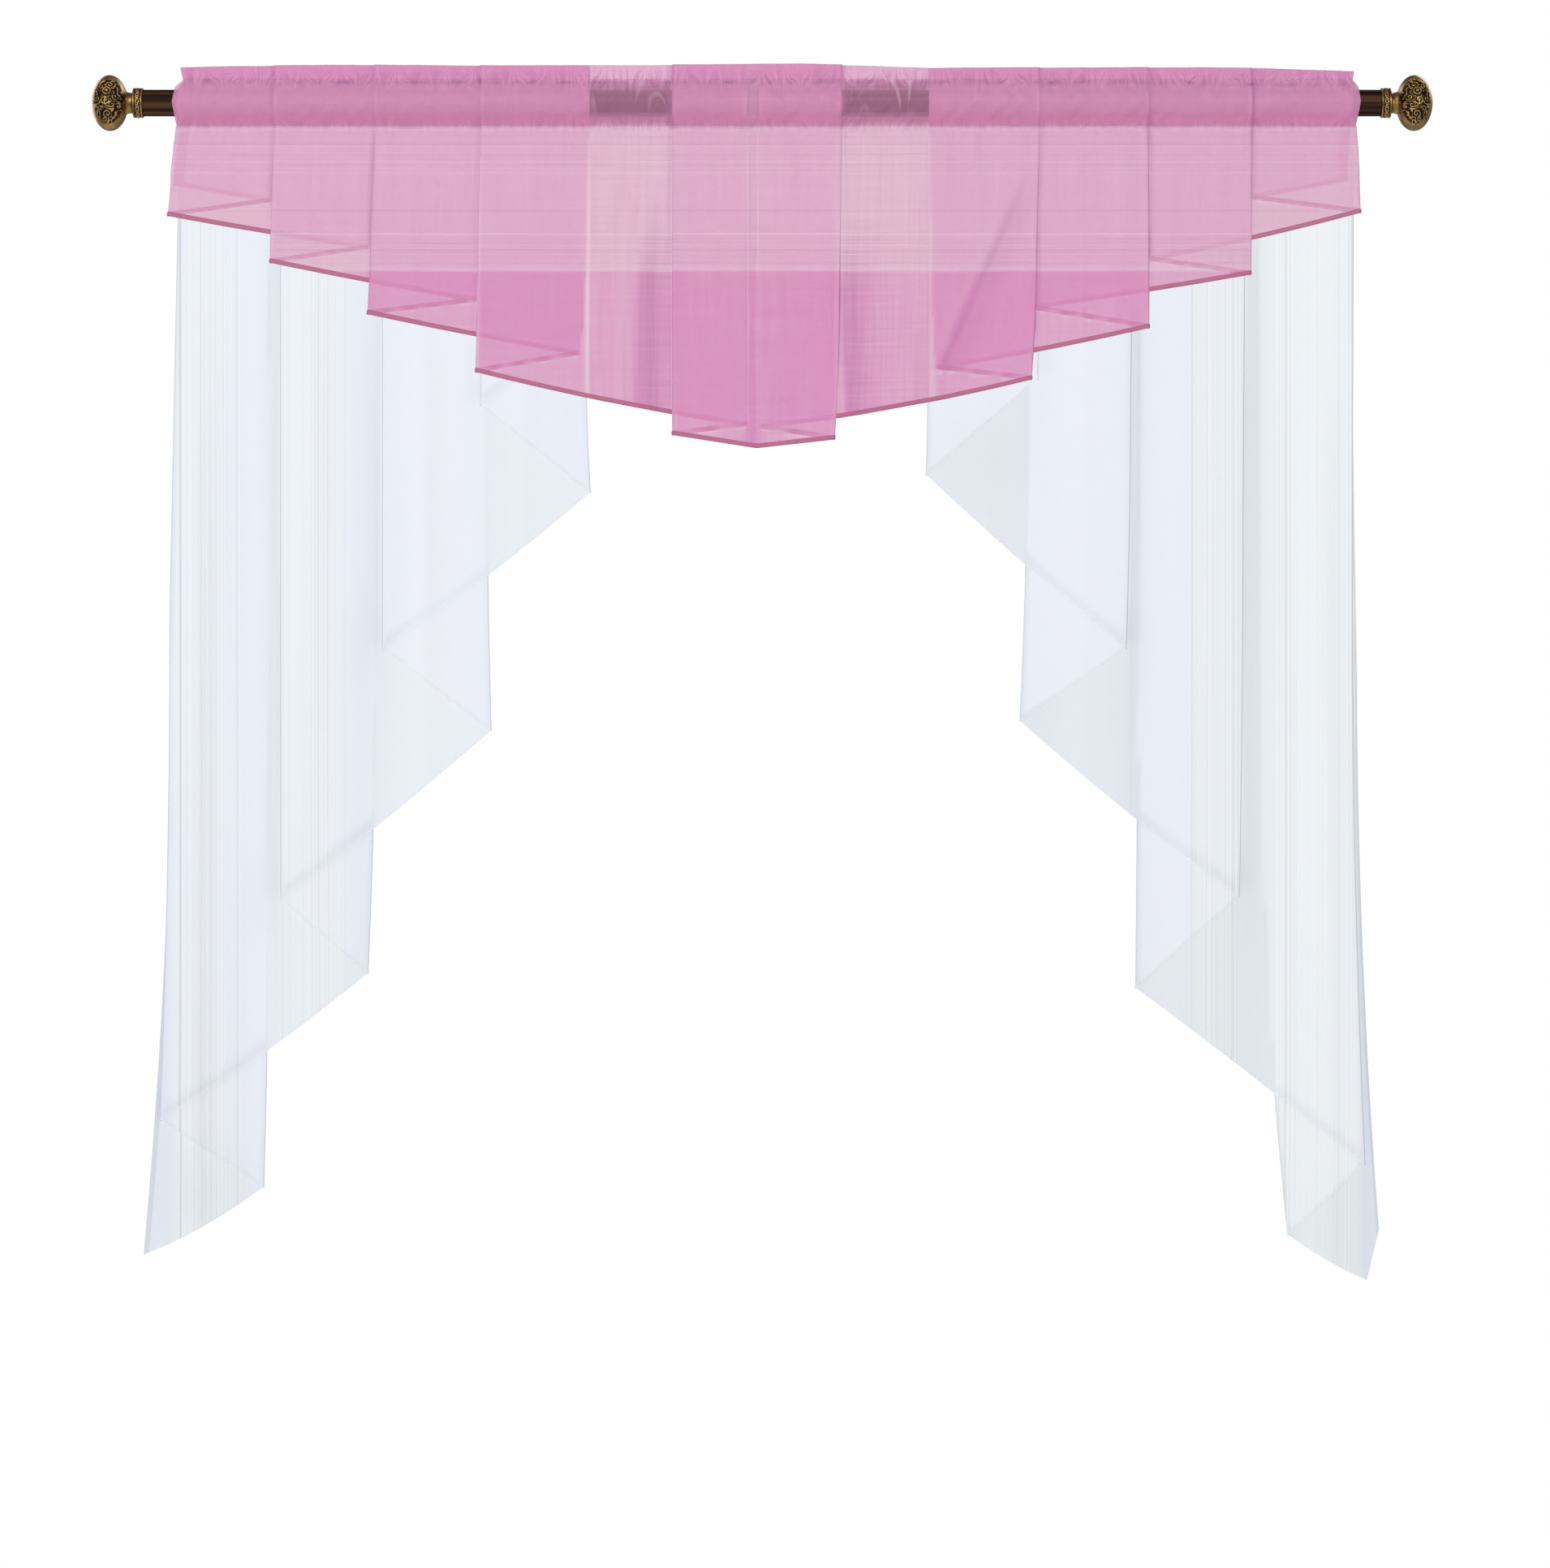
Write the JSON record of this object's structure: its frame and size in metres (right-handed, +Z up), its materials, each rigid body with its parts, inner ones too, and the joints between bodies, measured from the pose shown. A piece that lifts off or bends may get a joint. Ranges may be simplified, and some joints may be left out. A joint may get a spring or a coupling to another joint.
{
  "type": "cafe curtain on a curtain rod",
  "caption": "Sheer pleated valance with a rod pocket and frilled heading over stepped, pleated side falls, hung on a round rod with ball finials.",
  "frame": {"origin": "on the rod's axis, midway between its ends", "axes": "+X along the rod to the right as seen from the room, +Z up, the cloth's face towards -Y"},
  "size_m": [1.2556, 0.052, 1.1404],
  "materials": {
    "rod": "dark bronze, drawn lengthwise",
    "finial": "cast scrollwork, antiqued, dark in the hollows",
    "pink_sheer": "sheer plain weave with a rolled rose hem",
    "white_sheer": "sheer plain weave with a narrow hem"
  },
  "bodies": {
    "root": {"rod": "rod", "finial_left": "finial", "finial_right": "finial", "valance": "pink_sheer", "fall_left": "white_sheer", "fall_right": "white_sheer"}
  },
  "joints": []
}
